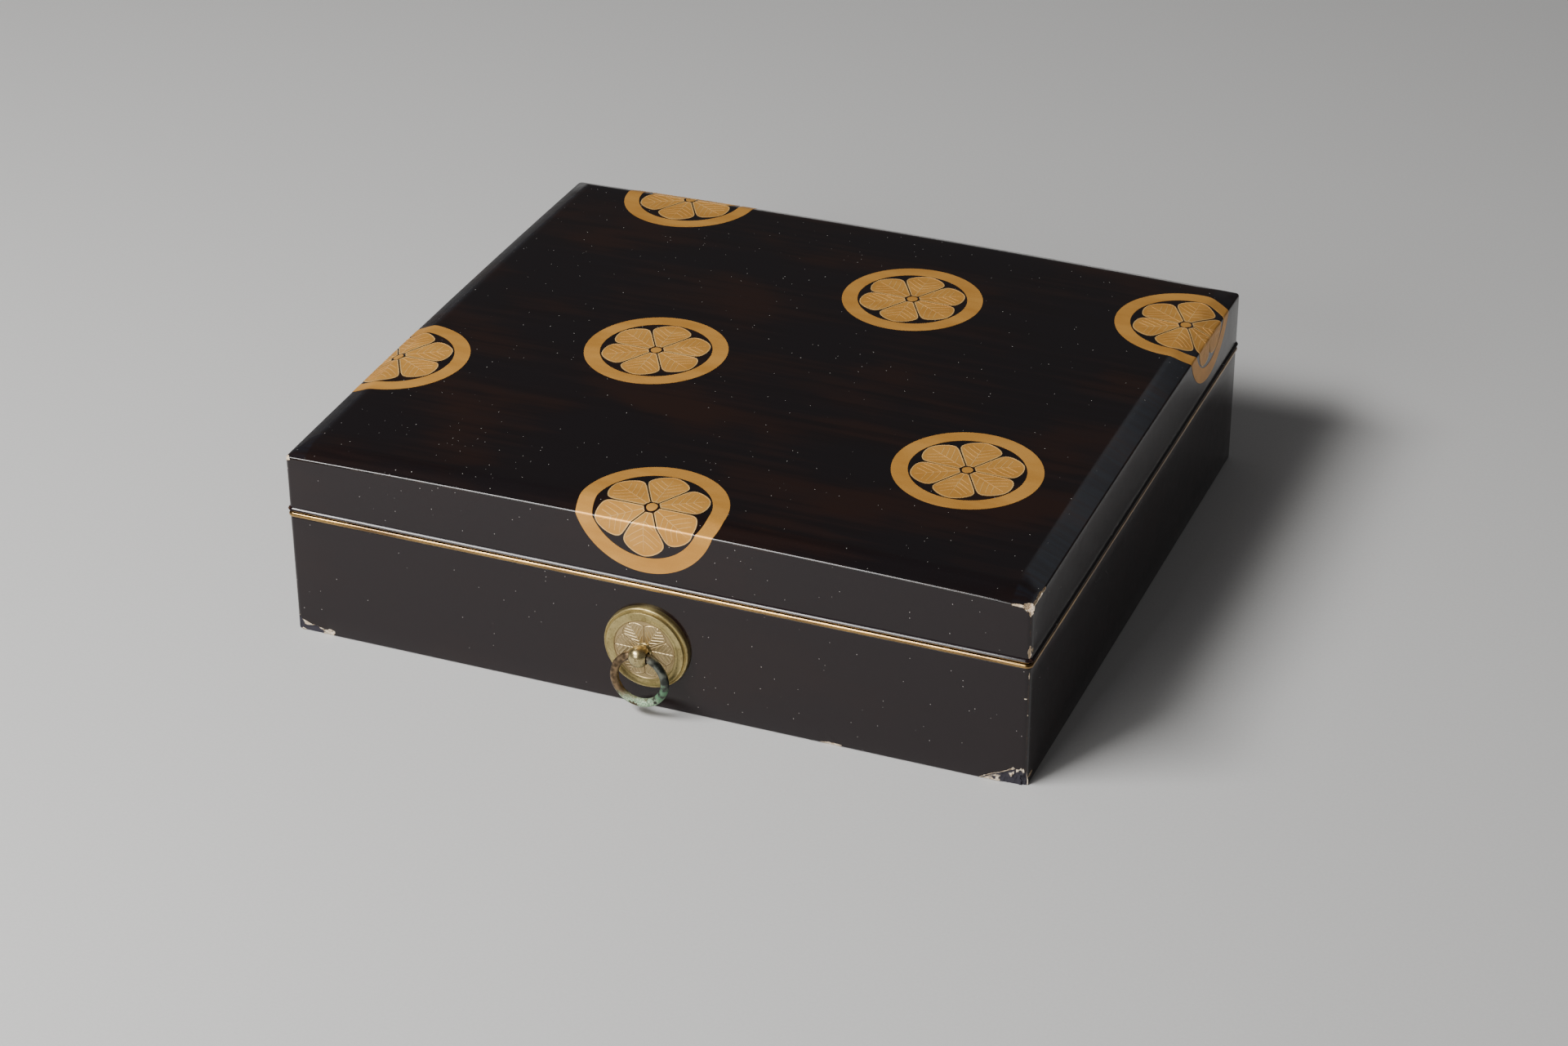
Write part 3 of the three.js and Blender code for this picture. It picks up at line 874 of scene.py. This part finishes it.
def disc_rings():
    """Radii and heights from the disc's back round its rim to a fine line outside the medallion."""
    rings = [(BORE, 0.0), (DISC_RADIUS, 0.0)]
    shoulder = [(0.0, DISC_SIDE)]
    for step in range(1, SHOULDER_STEPS + 1):
        angle = math.pi / 2 * step / SHOULDER_STEPS
        out = (DISC_RADIUS - SHOULDER - GROOVE) * (1 - math.cos(angle))
        shoulder.append((out, DISC_SIDE + (SHOULDER_HEIGHT - DISC_SIDE) * math.sin(angle)))
    rings += [(DISC_RADIUS - out, height) for out, height in shoulder]
    rings += [
        (SHOULDER, SHOULDER_HEIGHT - 0.6 * GROOVE),
        (SHOULDER - GROOVE / 2, SHOULDER_HEIGHT - 0.4 * GROOVE),
        (SHOULDER - GROOVE * 0.8, SHOULDER_HEIGHT + STEP_FOOT),
        (FACE + FACE_CHAMFER, FACE_HEIGHT - FACE_CHAMFER),
        (FACE, FACE_HEIGHT - FACE_SINK),
        (FACE - FACE_EASE, FACE_HEIGHT),
        (MEDAL + LINE_OUTER, FACE_HEIGHT),
        (MEDAL + LINE_MIDDLE, FACE_HEIGHT - LINE_DEPTH),
        (MEDAL + LINE_INNER, FACE_HEIGHT),
    ]
    return rings


def ring_of(mesh, radius, height, matrix, raised):
    """One turn of a disc's corners, each of which is told how high the engraving stands there."""
    ring = []
    for step in range(DISC_TURNS):
        angle = 2 * math.pi * step / DISC_TURNS
        z = height(radius, angle) if callable(height) else height
        spot = Vector((radius * math.cos(angle), radius * math.sin(angle), z))
        corner = mesh.verts.new(matrix @ spot)
        corner[raised] = engraving(radius, angle) if radius < MEDAL else PLAIN
        ring.append(corner)
    return ring


def brass(name, light, dark, tarnish, rough, engraved=False):
    """Old brass, yellow with browner patches and tarnish. Where it is engraved, it is rubbed pale
    on the high parts and stays dark in the cuts."""
    metal = Finish(bpy.data.materials.new(name))
    place = metal.place()
    patches = metal.cloud(place, scale=170.0, detail=4.0)
    fine = metal.cloud(place, scale=1500.0, detail=3.0)
    colour = metal.mix(metal.step(patches + fine * 0.3, 0.45, 0.9), light, dark)
    colour = metal.mix(metal.step(fine, 0.56, 0.72) * 0.5, colour, tarnish)
    roughness = rough + patches * 0.16 + fine * 0.08
    if engraved:
        raised = metal.node("Attribute", {"attribute_name": "raised"}).out("Fac")
        medal = metal.step(raised, PLAIN, 0.0)
        cut = medal * (1 - metal.step(raised, 0.02, 0.16))
        rubbed = metal.mix(metal.step(raised, 0.3, 1.0), shade(194, 170, 126), shade(236, 214, 168))
        colour = metal.mix(medal * 0.9, colour, rubbed)
        colour = metal.mix(cut * 0.7, colour, tarnish)
        roughness = roughness + medal * 0.06 + cut * 0.2
    return metal.surface({
        "Base Color": colour,
        "Metallic": 0.9,
        "Roughness": roughness,
        "Normal": metal.bump(fine + patches, distance=0.03 * MM, strength=0.5),
    })


disc_brass = brass("engraved_brass", shade(198, 180, 124), shade(154, 136, 86),
                   shade(104, 86, 54), rough=0.25, engraved=True)

for side, matrix in FITTINGS.items():
    mesh = bmesh.new()
    raised = mesh.verts.layers.float.new("raised")
    rings = [ring_of(mesh, radius, height, matrix, raised) for radius, height in disc_rings()]
    for step in range(MEDAL_RINGS + 1):
        radius = MEDAL + (BORE - MEDAL) * step / MEDAL_RINGS
        rings.append(ring_of(mesh, radius, medal_height, matrix, raised))
    for first, second in zip(rings, rings[1:] + rings[:1]):
        for at in range(DISC_TURNS):
            onward = (at + 1) % DISC_TURNS
            mesh.faces.new((first[at], first[onward], second[onward], second[at]))
    shown("cord_disc_" + side, mesh, disc_brass, "box", "engraved_brass", "ring_disc_" + side)

# Pins
# A brass pin with a squarish ball for a head and an eye through it from side to side. Its two
# split legs pass through the wall and are bent flat against the rim inside.
BALL = 4.15 * MM
BALL_OUT = 4.7 * MM
BALL_CENTRE = FACE_HEIGHT + BALL_OUT
BALL_TURNS = 48
BALL_STEPS = 18
CHEEK = 3.8 * MM
NECK = 2.1 * MM
NECK_EASE = 0.15 * MM
COLLAR = 3 * MM
COLLAR_HEIGHT = 0.7 * MM
COLLAR_EASE = 0.2 * MM
EYE_BORE = 2.3 * MM
EYE_TURNS = 40
LEG_WIDTH = 2.2 * MM
LEG_THICK = 0.9 * MM
LEG_SLIT = 0.16 * MM
LEG_BEND = 0.5 * MM
LEG_REACH = 8 * MM
LEG_POINT = 0.8 * LEG_THICK
POINT_FROM = 0.35
POINT_TO = 0.65
BEND_STEPS = 6

pin_brass = brass("pin_brass", shade(200, 184, 136), shade(140, 120, 76), shade(84, 68, 42),
                  rough=0.16)


def without(piece, cutter):
    """Cuts a shape out of a piece for good. The cut faces take the cutter's material. If the cut
    loses the piece, it is done again more slowly, allowing for faces that touch each other."""
    cut = piece.modifiers.new("cut", "BOOLEAN")
    cut.operation = "DIFFERENCE"
    cut.solver = "EXACT"
    cut.material_mode = "TRANSFER"
    cut.object = cutter
    for careful in (False, True):
        cut.use_self = careful
        graph = bpy.context.evaluated_depsgraph_get()
        carved = bpy.data.meshes.new_from_object(piece.evaluated_get(graph))
        if len(carved.polygons) > len(piece.data.polygons) / 2:
            break
    else:
        raise ValueError(f"{piece.name} was lost when {cutter.name} was cut out of it")
    piece.modifiers.clear()
    piece.data = carved
    carved.set_sharp_from_angle(angle=CREASE_ANGLE)
    bpy.data.objects.remove(cutter)


def loose(name, mesh, material):
    data = bpy.data.meshes.new(name)
    bmesh.ops.recalc_face_normals(mesh, faces=mesh.faces)
    mesh.to_mesh(data)
    mesh.free()
    data.materials.append(material)
    made = bpy.data.objects.new(name, data)
    bpy.context.collection.objects.link(made)
    return made


def pin_head(mesh, matrix):
    """Collar, neck and ball in one turned shape, with the ball's cheeks filed flat."""
    seat = FACE_HEIGHT - MEDAL_DEPTH - HAIR
    points = [
        (COLLAR, seat),
        (COLLAR, seat + COLLAR_HEIGHT * 0.55),
        (COLLAR - COLLAR_EASE, seat + COLLAR_HEIGHT * 0.8),
        (NECK + NECK_EASE, seat + COLLAR_HEIGHT),
    ]
    neck_angle = math.asin(NECK / BALL)
    for step in range(BALL_STEPS):
        angle = neck_angle + (math.pi - neck_angle) * step / BALL_STEPS
        points.append((BALL * math.sin(angle), BALL_CENTRE - BALL * math.cos(angle)))
    rings = []
    for radius, height in points:
        ring = []
        for step in range(BALL_TURNS):
            angle = 2 * math.pi * step / BALL_TURNS
            x = radius * math.cos(angle)
            if height > seat + COLLAR_HEIGHT and abs(x) > WELD:
                x = math.copysign(soft_least(abs(x), CHEEK, sharpness=14), x)
            ring.append(mesh.verts.new(matrix @ Vector((x, radius * math.sin(angle), height))))
        rings.append(ring)
    for first, second in zip(rings, rings[1:]):
        for at in range(BALL_TURNS):
            onward = (at + 1) % BALL_TURNS
            mesh.faces.new((first[at], first[onward], second[onward], second[at]))
    tip = mesh.verts.new(matrix @ Vector((0, 0, BALL_CENTRE + BALL)))
    foot = mesh.verts.new(matrix @ Vector((0, 0, seat)))
    for at in range(BALL_TURNS):
        onward = (at + 1) % BALL_TURNS
        mesh.faces.new((rings[-1][at], rings[-1][onward], tip))
        mesh.faces.new((rings[0][onward], rings[0][at], foot))


def pin_leg(mesh, matrix, way):
    """A flat strip that runs in through the wall and turns up or down against the rim."""
    near = LEG_SLIT / 2
    far = near + LEG_THICK
    outer = [(FACE_HEIGHT, near), (-BOARDS + LEG_BEND, near)]
    inner = [(FACE_HEIGHT, far), (-BOARDS + LEG_BEND, far)]
    turn = far + LEG_BEND
    for step in range(1, BEND_STEPS + 1):
        angle = math.pi / 2 * step / BEND_STEPS
        sine, cosine = math.sin(angle), math.cos(angle)
        inner.append((-BOARDS + LEG_BEND - LEG_BEND * sine, turn - LEG_BEND * cosine))
        reach = LEG_BEND + LEG_THICK
        outer.append((-BOARDS + LEG_BEND - reach * sine, turn - reach * cosine))
    tip = far + LEG_REACH
    inner.append((-BOARDS, tip))
    outer.append((-BOARDS - LEG_THICK, tip))
    inner.append((-BOARDS - LEG_THICK * POINT_FROM, tip + LEG_POINT))
    outer.append((-BOARDS - LEG_THICK * POINT_TO, tip + LEG_POINT))
    loops = []
    for (z_in, y_in), (z_out, y_out) in zip(inner, outer):
        loop = []
        for x, z, y in ((-1, z_in, y_in), (1, z_in, y_in), (1, z_out, y_out), (-1, z_out, y_out)):
            loop.append(mesh.verts.new(matrix @ Vector((x * LEG_WIDTH / 2, way * y, z))))
        loops.append(loop)
    for first, second in zip(loops, loops[1:]):
        for at in range(4):
            onward = (at + 1) % 4
            mesh.faces.new((first[at], first[onward], second[onward], second[at]))
    mesh.faces.new(loops[0])
    mesh.faces.new(reversed(loops[-1]))


for side, matrix in FITTINGS.items():
    mesh = bmesh.new()
    pin_head(mesh, matrix)
    pin = shown("cord_pin_" + side, mesh, pin_brass, "box", "aged_brass", "ring_pin_" + side)
    bore = bmesh.new()
    through = matrix @ Matrix.Translation((0, 0, BALL_CENTRE)) @ Matrix.Rotation(math.pi / 2, 4, "Y")
    bmesh.ops.create_cone(bore, cap_ends=True, segments=EYE_TURNS, radius1=EYE_BORE,
                          radius2=EYE_BORE, depth=4 * BALL, matrix=through)
    without(pin, loose("eye_bore", bore, pin_brass))
    mesh = bmesh.new()
    mesh.from_mesh(pin.data)
    pin_leg(mesh, matrix, 1)
    pin_leg(mesh, matrix, -1)
    bmesh.ops.recalc_face_normals(mesh, faces=mesh.faces)
    mesh.to_mesh(pin.data)
    mesh.free()
    pin.data.shade_smooth()
    pin.data.set_sharp_from_angle(angle=CREASE_ANGLE)

# Rings
# Rings of round brass wire, a little uneven from the hammer. They are brown where they hang
# in the eye and green with verdigris below, palest at the bottom.
RING_RADIUS = 10.05 * MM
RING_WIRE = 1.65 * MM
RING_TURNS = 128
WIRE_TURNS = 24
UNEVEN = 0.03
DENTS_ROUND = 3
DENTS_ACROSS = 0.7
BOTTOM_DRIFT = 5 * MM
BOTTOM_FADE = (9 * MM, 14 * MM)
FLANK_DRIFT = 8 * MM
FLANK_FADE = (4 * MM, 11 * MM)
LOWER_DRIFT = 6 * MM
LOWER_FADE = (17 * MM, 22 * MM)

old = Finish(bpy.data.materials.new("verdigris_brass"))
old_place = old.place()
old_x, _, old_z = old.axes(old_place)
mottled = old.cloud(old_place, scale=420.0, detail=5.0)
grit = old.cloud(old_place, scale=1800.0, detail=3.0)
bottom = 1 - old.step(old_z + mottled * BOTTOM_DRIFT, *BOTTOM_FADE)
flank = old.step(old_x + mottled * FLANK_DRIFT, *FLANK_FADE)
lower = 1 - old.step(old_z + mottled * LOWER_DRIFT, *LOWER_FADE)
brown = old.mix(old.step(mottled, 0.38, 0.62), shade(84, 68, 50), shade(146, 122, 92))
dull = old.mix(old.step(mottled, 0.38, 0.62), shade(60, 64, 60), shade(122, 126, 116))
green = old.mix(old.step(mottled, 0.4, 0.6), shade(46, 84, 60), shade(98, 136, 104))
pale = old.mix(old.step(grit, 0.4, 0.6), shade(116, 152, 118), shade(196, 216, 184))
speckled = flank * lower * old.step(mottled, 0.44, 0.54)
crust = (speckled * 0.6).most(bottom * old.step(mottled, 0.36, 0.48))
weathered = old.mix(speckled, old.mix(flank, brown, dull), green)
weathered = old.mix(bottom * old.step(mottled, 0.36, 0.48), weathered, pale)
ring_brass = old.surface({
    "Base Color": weathered,
    "Metallic": 0.85 - crust * 0.75,
    "Roughness": 0.34 + crust * 0.4 + grit * 0.1,
    "Normal": old.bump(grit + mottled * 2, distance=0.05 * MM, strength=0.6),
})

for side, matrix in FITTINGS.items():
    ring_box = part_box("ring_" + side)
    middle = (ring_box[0] + ring_box[1]) / 2
    mesh = bmesh.new()
    hoops = []
    for step in range(RING_TURNS):
        angle = 2 * math.pi * step / RING_TURNS
        way = Vector((math.sin(angle), 0, -math.cos(angle)))
        hoop = []
        for turn in range(WIRE_TURNS):
            around = 2 * math.pi * turn / WIRE_TURNS
            spot = Vector((way.x * DENTS_ROUND, way.z * DENTS_ROUND, around * DENTS_ACROSS))
            wire = RING_WIRE * (1 - UNEVEN + noise.noise(spot) * UNEVEN)
            offset = way * (RING_RADIUS + wire * math.cos(around))
            hoop.append(mesh.verts.new(middle + offset + Vector((0, wire * math.sin(around), 0))))
        hoops.append(hoop)
    for first, second in zip(hoops, hoops[1:] + hoops[:1]):
        for at in range(WIRE_TURNS):
            onward = (at + 1) % WIRE_TURNS
            mesh.faces.new((first[at], first[onward], second[onward], second[at]))
    shown("cord_ring_" + side, mesh, ring_brass, side + "_ring", "aged_brass", "ring_" + side)

# Chips
# Knocks have broken the lacquer at the corners and show the pale clay ground under it. Near
# the foot the deeper ones go down to the grey cloth that the clay was laid on.
CHIP_SEED = 11
SHIFTS = 50
FLAKE_DETAIL = 5
LUMPS = 1.6
LUMP_HEIGHT = 0.38
RAGGED = (0.9, 2.2, 5)
PITS = 14
PIT_HEIGHT = 0.06
LEAST_REACH = 0.25
FOOT_FADE = (9 * MM, 12 * MM)
CRUMB_DEPTH = 0.2 * MM
CLOTH_DEPTH = (0.42 * MM, 0.52 * MM)

random.seed(CHIP_SEED)
clay = Finish(bpy.data.materials.new("bare_clay"))
clay_place = clay.place()
clay_x, clay_y, clay_z = clay.axes(clay_place)
crumbs = clay.cloud(clay_place, scale=900.0, detail=5.0)
depth = (HALF_X - abs(clay_x)).least(HALF_Y - abs(clay_y))
near_foot = 1 - clay.step(clay_z, *FOOT_FADE)
cloth_share = near_foot * clay.step(depth + crumbs * CRUMB_DEPTH, *CLOTH_DEPTH)
bare = clay.mix(clay.step(crumbs, 0.35, 0.65), shade(214, 190, 160), shade(244, 230, 206))
bare = clay.mix(cloth_share, bare, shade(50, 47, 56))
bare_clay = clay.surface({
    "Base Color": bare,
    "Roughness": 0.85,
    "Normal": clay.bump(crumbs, distance=0.15 * MM, strength=0.8),
})


def chip(piece, spot, radii, tilt=0):
    """Breaks a ragged flake off a piece, at a point and with three radii in millimetres. A tilt
    in degrees raises the end of the flake that lies on the right."""
    turned = Matrix.Rotation(math.radians(-tilt), 3, "Y")
    mesh = bmesh.new()
    shift = Vector([random.uniform(0, SHIFTS) for _ in range(3)])
    bmesh.ops.create_icosphere(mesh, subdivisions=FLAKE_DETAIL, radius=1.0)
    for corner in mesh.verts:
        way = corner.co.normalized()
        rough = noise.fractal(way * LUMPS + shift, *RAGGED) * LUMP_HEIGHT
        fine = noise.noise(way * PITS + shift) * PIT_HEIGHT
        size = max(1 + rough + fine, LEAST_REACH)
        reach = Vector([way[axis] * radii[axis] * size for axis in range(3)])
        corner.co = (Vector(spot) + turned @ reach) * MM
    without(piece, loose("flake_" + "_".join(f"{part:.1f}" for part in spot), mesh, bare_clay))


X, Y = HALF_X / MM, HALF_Y / MM
EDGE = LID_EDGE / MM
body_chips = [
    ((X - 6.8, -Y, 0.1), (5.6, 0.8, 3.8)),
    ((X - 3.2, -Y, 0.4), (3.6, 0.9, 6.4)),
    ((X - 0.8, -Y + 0.4, 1.6), (2.0, 1.2, 4.2)),
    ((X - 11.2, -Y, 2.8), (9.0, 0.42, 1.1), 25),
    ((X - 5.4, -Y, 5.6), (2.2, 0.42, 1.3), 35),
    ((X - 13.0, -Y, 1.0), (4.0, 0.42, 1.2), 12),
    ((X, -Y + 4, 3.6), (0.4, 2.8, 0.7)),
    ((X - 0.45, -Y + 0.45, 46.4), (0.3, 0.3, 1.8)),
    ((X - 1.1, -Y - 0.02, 37.0), (0.9, 0.25, 0.3)),
    ((X - 0.45, -Y + 0.45, 30.0), (0.28, 0.28, 0.5)),
    ((-X + 6.5, -Y, 1.2), (8.0, 0.55, 2.4), -13),
    ((-X + 13.5, -Y, 1.0), (2.4, 0.3, 1.6)),
    ((-X + 1.0, -Y + 0.3, 2.6), (1.6, 0.55, 3.4)),
    ((72, -Y, 0.2), (4.0, 0.3, 0.9)),
]
lid_chips = [
    ((X - 0.8, -Y + 0.6, EDGE - 0.2), (2.6, 1.9, 2.0)),
    ((X - 4.0, -Y + 0.1, EDGE - 0.1), (3.2, 0.5, 0.5)),
    ((X - 0.4, -Y + 0.4, EDGE - 2.2), (0.9, 0.9, 1.8)),
    ((X - 0.2, -Y + 4.5, EDGE), (0.6, 3.4, 0.6)),
    ((X - 0.4, -Y + 9, EDGE + 0.15), (0.7, 3.2, 0.55)),
    ((X - 0.25, -Y + 13, EDGE + 0.15), (0.45, 2.2, 0.45)),
    ((X - 0.7, -Y + 0.6, 56.2), (0.7, 0.9, 2.4)),
    ((X - 0.3, -Y + 1.9, 56.8), (0.5, 0.6, 1.3)),
    ((-X + 0.7, -Y + 0.6, EDGE - 0.3), (1.3, 1.1, 0.9)),
]
for piece, places in ((body, body_chips), (lid, lid_chips)):
    for place in places:
        chip(piece, *place)
